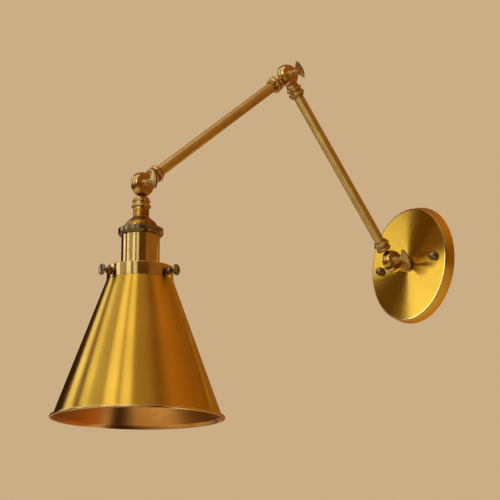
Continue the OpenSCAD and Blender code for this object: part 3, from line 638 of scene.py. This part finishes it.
stem_foot, stem_end = KEY_SEAT + SEAT_GAP, root.x + STEM_IN_GRIP
stem_outline = [(POLE, stem_foot), (SHOULDER_RADIUS, stem_foot)]
stem_outline += arc(
    SHOULDER_RADIUS - SHOULDER_EDGE, SHOULDER_TOP - SHOULDER_EDGE, SHOULDER_EDGE, 0, 90, 4)
stem_outline += arc(STEM_RADIUS + STEM_HOLLOW, SHOULDER_TOP + STEM_HOLLOW, STEM_HOLLOW, 270, 180, 4)
stem_outline += [(STEM_RADIUS, stem_end), (GRIP_THICK * 0.35, stem_end + KEY_TAPER)]
stem_outline += [(POLE, stem_end + KEY_TAPER)]
key = turned("key", stem_outline, sides=64)
settle(key, Matrix.Rotation(math.radians(90), 4, "Y"))
key = joined([key, grip], "key")
bpy.ops.object.shade_smooth_by_angle(angle=SMOOTH_BELOW)
# Forged brass, tumbled and never polished: its highlights are broad and soft.
# Where other surfaces are near it turns brown: painted shade.
key_brass = brass("forged_brass", "E8CC8A", "D8B670", 0.36, seam_and_shade="3C220A")
# The grip's thin edge takes the dark antique brass: painted shade along the edge.
shaded_rim_faces = [
    face.index for face in key.data.polygons
    if abs(face.normal.z) < 0.5 and face.center.x > (root.x + KEY_TAPER) * MM]
for node, ball, turn in [
    ("wall_key", wall_ball, KEY_TURN), ("elbow_key", elbow_ball, KEY_TURN),
    ("head_key", head_ball, HEAD_KEY_TURN),
]:
    twin = copy_of(key, node + "_forged")
    settle(twin, Matrix.Translation(ball * MM) @ Matrix.Rotation(math.radians(turn), 4, "X"))
    finished(twin, key_brass, "antique_brass", node, node)
    twin.data.materials.append(dark_brass)
    for index in shaded_rim_faces:
        twin.data.polygons[index].material_index = 1
bpy.data.objects.remove(key)

# Collars
# Turned brass collars with round beads, one at each end of each arm, and one between the first
# knuckle and the plate. Brown stays in their grooves: partly antique patina, partly painted shade.
COLLAR_BODY, COLLAR_BORE, TUBE_BORE, COLLAR_LENGTH, TUBE_SEAT = 6.4, 4.05, 5.05, 11, 3
BASE_COLLAR_LENGTH, BASE_BORE = 9, 5.05
# Each bead: its outer radius, half its width and its height.
ARM_BEADS = [(7.7, 1.9, 2.2), (8.2, 2.3, 7.2), (6.8, 0.7, 10.3)]
BASE_BEADS = [(7.7, 1.98, 2.28), (8.2, 2.3, 6.48)]


def beads(sizes, body):
    """Points of half-round beads that stand on a body's radius."""
    points = []
    for outer, half, at in sizes:
        middle = outer - half
        reach = math.degrees(math.acos((body - middle) / half))
        points += arc(middle, at, half, -reach, reach, 10)
    return points


arm_collar_outline = [(COLLAR_BORE, 0), (COLLAR_BODY, 0)] + beads(ARM_BEADS, COLLAR_BODY)
arm_collar_outline += [(COLLAR_BODY, COLLAR_LENGTH), (TUBE_BORE, COLLAR_LENGTH)]
arm_collar_outline += [
    (TUBE_BORE, COLLAR_LENGTH - TUBE_SEAT), (COLLAR_BORE, COLLAR_LENGTH - TUBE_SEAT)]
up_neck = Matrix.Translation((0, 0, NECK_END * MM))
for node, place, body in [
    ("lower_wall_collar", lower_near, "lower_arm"), ("lower_elbow_collar", lower_far, "lower_arm"),
    ("upper_elbow_collar", upper_near, "upper_arm"), ("upper_head_collar", upper_far, "upper_arm"),
]:
    collar = turned(node + "_turned", arm_collar_outline, sides=96)
    settle(collar, place @ up_neck)
    finished(collar, turned_brass, "antique_brass", body, node)
base_outline = [(BASE_BORE, 0), (COLLAR_BODY, 0)] + beads(BASE_BEADS, COLLAR_BODY)
base_outline += [(COLLAR_BODY, BASE_COLLAR_LENGTH), (BASE_BORE, BASE_COLLAR_LENGTH)]
base_collar = turned("base_collar_turned", base_outline, sides=96)
settle(base_collar, into_wall @ up_neck)
finished(base_collar, turned_brass, "antique_brass", "base", "base_collar")

# Arm tubes
# Drawn brass tube, brushed along its length and lacquered. Its ends stand in the collars.
TUBE_RADIUS, TUBE_WALL, TUBE_START = 5, 0.95, 21
# Drawn brass tube: one broad soft streak down its length, and painted shade, a brown, where it
# meets a collar.
tube_brass = brass("drawn_brass_tube", "EBCF84", "DDBD70", 0.34, seam_and_shade="4A2E0C")
tube_outline = [
    (TUBE_RADIUS - TUBE_WALL, TUBE_START), (TUBE_RADIUS, TUBE_START),
    (TUBE_RADIUS, ARM_LENGTH - TUBE_START), (TUBE_RADIUS - TUBE_WALL, ARM_LENGTH - TUBE_START),
]
for node, place, body in [
    ("lower_arm_tube", lower_near, "lower_arm"), ("upper_arm_tube", upper_near, "upper_arm"),
]:
    tube = turned(node + "_drawn", tube_outline, sides=96)
    settle(tube, place)
    finished(tube, tube_brass, "antique_brass", body, node)

# Neck of the lampholder
# A turned collar with one thin and one thick ring, then a cap that flares out in a hollow curve.
HEAD_NECK, HEAD_BORE, CAP_TOP, FLARE_AT, FLARE = 7.2, 4.05, 24, 30, 2
BELL_RADIUS, BELL_CURVE, BELL_FOOT = 15, 6.163, 40.5
SKIRT_RADIUS, SKIRT_TOP, SKIRT_END, SKIRT_BORE = 16.2, 41.8, 49.5, 14.6
CAP_FLOOR, CAP_NUT_ROOM, CAP_NUT_SEAT, CAP_EDGE = 43, 7.91, 36, 0.12
HEAD_BEADS = [(8.3, 0.9, 15.86), (9.0, 1.5, 20.81)]
head_collar_outline = [(HEAD_BORE, NECK_END), (HEAD_NECK, NECK_END)]
head_collar_outline += beads(HEAD_BEADS, HEAD_NECK - 0.01)
head_collar_outline += [(HEAD_NECK, CAP_TOP), (HEAD_BORE, CAP_TOP)]
head_collar = turned("head_collar_turned", head_collar_outline, sides=96)
settle(head_collar, head_down)
finished(head_collar, turned_brass, "antique_brass", "head", "head_collar")
cap_outline = [(HEAD_BORE, CAP_TOP), (HEAD_NECK, CAP_TOP)]
cap_outline += arc(HEAD_NECK + FLARE, FLARE_AT, FLARE, 180, 131, 6)
cap_outline += arc(BELL_RADIUS - BELL_CURVE, BELL_FOOT, BELL_CURVE, -49, 0, 10)
cap_outline += [(BELL_RADIUS, SKIRT_TOP), (SKIRT_RADIUS, SKIRT_TOP), (SKIRT_RADIUS, SKIRT_END)]
cap_outline += [(SKIRT_BORE, SKIRT_END), (SKIRT_BORE, CAP_FLOOR), (CAP_NUT_ROOM, CAP_FLOOR)]
cap_outline += [(CAP_NUT_ROOM, CAP_NUT_SEAT), (HEAD_BORE, CAP_NUT_SEAT)]
socket_cap = turned("socket_cap_flared", cap_outline, sides=128, bevel=CAP_EDGE)
settle(socket_cap, head_down)
# Spun brass with a heavy tarnish: an olive brown with a soft shine, and painted shade, a brown,
# under the ring.
cap_brass = brass("spun_brass_cap", "AD8834", "9A782E", 0.3, seam_and_shade="3C220A")
finished(socket_cap, cap_brass, "antique_brass", "head", "socket_cap")

# Threaded ring
# A cast brass ring with a well-rounded lower edge, dipped to a dark antique brown.
RING_RADIUS, RING_TOP, RING_BOTTOM, RING_TOP_EDGE, RING_LOW_EDGE = 20.5, 42, 48.5, 0.6, 2.2
RING_FIT, SHELL_BORE, SHELL_SEAT = 0.05, 17.45, 45.7
ring_outline = [(SKIRT_RADIUS + RING_FIT, RING_TOP)]
ring_outline += arc(
    RING_RADIUS - RING_TOP_EDGE, RING_TOP + RING_TOP_EDGE, RING_TOP_EDGE, -90, 0, 5)
ring_outline += arc(
    RING_RADIUS - RING_LOW_EDGE, RING_BOTTOM - RING_LOW_EDGE, RING_LOW_EDGE, 0, 90, 8)
ring_outline += [
    (SHELL_BORE, RING_BOTTOM), (SHELL_BORE, SHELL_SEAT), (SKIRT_RADIUS + RING_FIT, SHELL_SEAT)]
socket_ring = turned("socket_ring_antique", ring_outline, sides=128)
settle(socket_ring, head_down)
finished(socket_ring, dark_brass, "dark_antique_brass", "head", "socket_ring")

# Socket shell
# A plain drawn brass tube, polished bright, round the porcelain lampholder.
SHELL_RADIUS, SHELL_WALL, SHELL_TOP, SHELL_END = 17.4, 1, 45.9, 83.3
# Polished brass tube: nearly a mirror, so it shows narrow upright stripes of light and dark.
# Where other surfaces are near, such as the gallery, it turns brown: painted shade.
shell_brass = brass(
    "polished_brass_tube", "E6C984", "D9B86E", 0.14, seam_and_shade="4A300C", seam_reach=1.5)
shell_outline = [(SHELL_RADIUS - SHELL_WALL, SHELL_TOP), (SHELL_RADIUS, SHELL_TOP)]
shell_outline += [(SHELL_RADIUS, SHELL_END), (SHELL_RADIUS - SHELL_WALL, SHELL_END)]
socket_shell = turned("socket_shell_polished", shell_outline, sides=160)
settle(socket_shell, head_down)
finished(socket_shell, shell_brass, "antique_brass", "head", "socket_shell")

# Gallery
# The ring that holds the shade: a short brass cup with a rounded shoulder, spun and lacquered.
GALLERY_RADIUS, GALLERY_TOP, GALLERY_END, GALLERY_WALL, SHOULDER = 30, 78, 90, 1, 1.2
gallery_outline = [(SHELL_BORE, GALLERY_TOP)]
gallery_outline += arc(GALLERY_RADIUS - SHOULDER, GALLERY_TOP + SHOULDER, SHOULDER, -90, 0, 6)
gallery_outline += [
    (GALLERY_RADIUS, GALLERY_END), (GALLERY_RADIUS - GALLERY_WALL, GALLERY_END),
    (GALLERY_RADIUS - GALLERY_WALL, GALLERY_TOP + GALLERY_WALL),
    (SHELL_BORE, GALLERY_TOP + GALLERY_WALL),
]
gallery = turned("shade_gallery_spun", gallery_outline, sides=160)
settle(gallery, head_down)
finished(gallery, shell_brass, "antique_brass", "head", "shade_gallery")

# Thumb screws and their bosses
# Three round-headed thumb screws run in bosses on the gallery and grip the shade's neck.
SCREW_TURN, SCREW_DOWN, SCREW_RADIUS, SCREW_HEAD = 27.2, 84, 1.5, 5
SCREW_TIP, SCREW_COLLAR, SCREW_COLLAR_FROM, HEAD_FROM, HEAD_TO = 28.5, 2.3, 35.8, 37, 39.4
HEAD_EDGE, HEAD_DISH, HEAD_DISH_RADIUS = 0.8, 0.3, 2.6
BOSS_RADIUS, BOSS_BORE, BOSS_EDGE, BOSS_FROM, BOSS_END = 3.6, 1.55, 0.7, 30.0, 33.2
screw_outline = [(POLE, SCREW_TIP), (SCREW_RADIUS, SCREW_TIP), (SCREW_RADIUS, SCREW_COLLAR_FROM)]
screw_outline += [(SCREW_COLLAR, SCREW_COLLAR_FROM), (SCREW_COLLAR, HEAD_FROM)]
screw_outline += arc(SCREW_HEAD - HEAD_EDGE, HEAD_FROM + HEAD_EDGE, HEAD_EDGE, -90, 0, 4)
screw_outline += arc(SCREW_HEAD - HEAD_EDGE, HEAD_TO - HEAD_EDGE, HEAD_EDGE, 0, 90, 4)
screw_outline += [(HEAD_DISH_RADIUS, HEAD_TO - HEAD_DISH), (POLE, HEAD_TO - HEAD_DISH)]
boss_outline = [(BOSS_BORE, BOSS_FROM), (BOSS_RADIUS, BOSS_FROM)]
boss_outline += arc(BOSS_RADIUS - BOSS_EDGE, BOSS_END - BOSS_EDGE, BOSS_EDGE, 0, 90, 4)
boss_outline += [(BOSS_BORE, BOSS_END)]
bosses = []
for index, node in enumerate(["shade_screw_right", "shade_screw_back", "shade_screw_left"]):
    outward = Matrix.Translation(head_ball * MM) @ Matrix.Translation((0, 0, -SCREW_DOWN * MM))
    outward = outward @ Matrix.Rotation(math.radians(SCREW_TURN + 120 * index), 4, "Z")
    outward = outward @ Matrix.Rotation(math.radians(90), 4, "Y")
    screw = turned(node + "_turned", screw_outline, sides=48)
    settle(screw, outward)
    finished(screw, dark_brass, "dark_antique_brass", node, node)
    boss = turned("gallery_boss", boss_outline, sides=48)
    settle(boss, outward)
    bosses.append(boss)
gallery_bosses = joined(bosses, "gallery_bosses_turned")
finished(gallery_bosses, dark_brass, "dark_antique_brass", "head", "gallery_bosses")

# Shade
# A cone spun from thin brass sheet over a former, with a neck that fits inside the gallery and a
# turned-out lip rolled into a bead. The spinning tool leaves fine grooves round it.
SHADE_SHEET, FITTER_RADIUS, FITTER_TOP = 0.8, 28.4, 80.3
CONE_TOP, CONE_TOP_RADIUS, CONE_END, CONE_END_RADIUS = 90.2, 30.2, 212.2, 74.5
BEAD_RADIUS, BEAD_MIDDLE, BEAD_DOWN, BEAD_FROM_RADIUS = 1.3, 76.2, 213.7, 0.6
neck_edge = (CONE_TOP_RADIUS, CONE_TOP + 0.4)
lip_inside = (CONE_END_RADIUS - 1.0, CONE_END + 0.3)
shade_outline = [(FITTER_RADIUS, FITTER_TOP), (FITTER_RADIUS, CONE_TOP)]
shade_outline += [(CONE_TOP_RADIUS - 0.3, CONE_TOP), neck_edge]
shade_outline += between(neck_edge, (CONE_END_RADIUS - 0.25, CONE_END - 0.7))
shade_outline += [(CONE_END_RADIUS + 0.2, CONE_END + 0.2)]
shade_outline += arc(BEAD_MIDDLE, BEAD_DOWN, BEAD_RADIUS, -125, 165, 16)
shade_outline += [lip_inside]
shade_outline += between(lip_inside, (CONE_TOP_RADIUS - SHADE_SHEET, CONE_TOP + 1))
shade_outline += [
    (FITTER_RADIUS - SHADE_SHEET, CONE_TOP + 0.8), (FITTER_RADIUS - SHADE_SHEET, FITTER_TOP)]
shade = turned("shade_spun", shade_outline, sides=256)
settle(shade, head_down)
# Spun and lacquered brass: the grooves spread each window into an upright band down the cone.
shade_brass = brass("spun_lacquered_brass_shade", "EEC44C", "E9BE48", 0.31, cloud_size=40)
# Brass left unpolished inside, and painted redder and deeper: painted shade and painted
# reflection of its own far side and the floor.
bare_brass = brass("rougher_brass_inside_painted_shade", "D9A058", "C08644", 0.24, cloud_size=25)
finished(shade, shade_brass, "antique_brass", "head", "shade")
shade.data.materials.append(bare_brass)
shade.data.materials.append(edge_brass_and_highlight)
head_axis = Vector((0, head_ball.y * MM, 0))
groove(shade_brass, "Z", head_axis)
for face in shade.data.polygons:
    out = face.center - head_axis
    faces_in = face.normal.x * out.x + face.normal.y * out.y < 0
    # Inside faces take the redder, darker brass: painted shade.
    if faces_in and face.center.z < (head_ball.z - CONE_TOP) * MM:
        face.material_index = 1
    # The bead round the lip takes the same paler brass: a painted highlight.
    if math.hypot(out.x, out.y) > (CONE_END_RADIUS + BEAD_FROM_RADIUS) * MM:
        face.material_index = 2

# The small window lights the turned pieces only.
not_by_window = bpy.data.collections.new("not_lit_by_small_window")
for number, piece in enumerate((wall_plate, shade, gallery, socket_shell, socket_ring)):
    not_by_window.objects.link(piece)
    not_by_window.collection_objects[number].light_linking.link_state = "EXCLUDE"
window.light_linking.receiver_collection = not_by_window

# Inner pieces
# The bar, screws, nuts and washers behind the plate are zinc-plated steel, the terminals and
# contacts are bare brass, the lampholder is glazed porcelain, and the insulators are phenolic.
MARKS_PER_METRE, HANDLED = 350, 0.82
SMOOTHER, ROUGHER = 0.04, 0.06
# Zinc gives a cool grey sheen and bare brass a yellow one, porcelain a white gloss, moulded
# phenolic a dull brown-black, and sleeving a matt cream. Each: slot, colour, metallic, roughness.
inner = {
    "zinc_plated_steel": ("zinc_steel", "B9BCBF", 1, 0.34),
    "bare_brass": ("bare_brass", "D8B050", 1, 0.28),
    "glazed_porcelain": ("porcelain", "EFEAE0", 0, 0.16),
    "moulded_phenolic": ("moulded_phenolic", "26211D", 0, 0.42),
    "lead_sleeving": ("lead_sleeving", "CDBF9F", 0, 0.55),
}


def dress_solids(wanted, material):
    """Gives a material to each solid that still shows and whose slot is one of those wanted."""
    for row in frame["record"]["subparts"]:
        solid = frame["nodes"][row["node"]]
        if row["material_slot"] in wanted and not solid.hide_render:
            solid.data.materials.clear()
            solid.data.materials.append(material)


for title, (slot, colour, metallic, roughness) in inner.items():
    material = bpy.data.materials.new(title)
    material.use_nodes = True
    tree = material.node_tree
    shader = tree.nodes["Principled BSDF"]
    place = add(tree, "TexCoord").outputs["Object"]
    cloud = add(tree, "TexNoise", {"Vector": place, "Scale": MARKS_PER_METRE, "Detail": 3})
    clean = srgb(colour)
    tint = add(tree, "MixRGB", {
        "Fac": cloud.outputs["Fac"], "Color1": clean,
        "Color2": [c * HANDLED for c in clean[:3]] + [1]})
    tree.links.new(tint.outputs["Color"], shader.inputs["Base Color"])
    spread = add(tree, "MapRange", {
        "Value": cloud.outputs["Fac"],
        "To Min": roughness - SMOOTHER, "To Max": roughness + ROUGHER})
    tree.links.new(spread.outputs["Result"], shader.inputs["Roughness"])
    shader.inputs["Metallic"].default_value = metallic
    dress_solids([slot], material)
dress_solids(["antique_brass", "dark_antique_brass"], turned_brass)
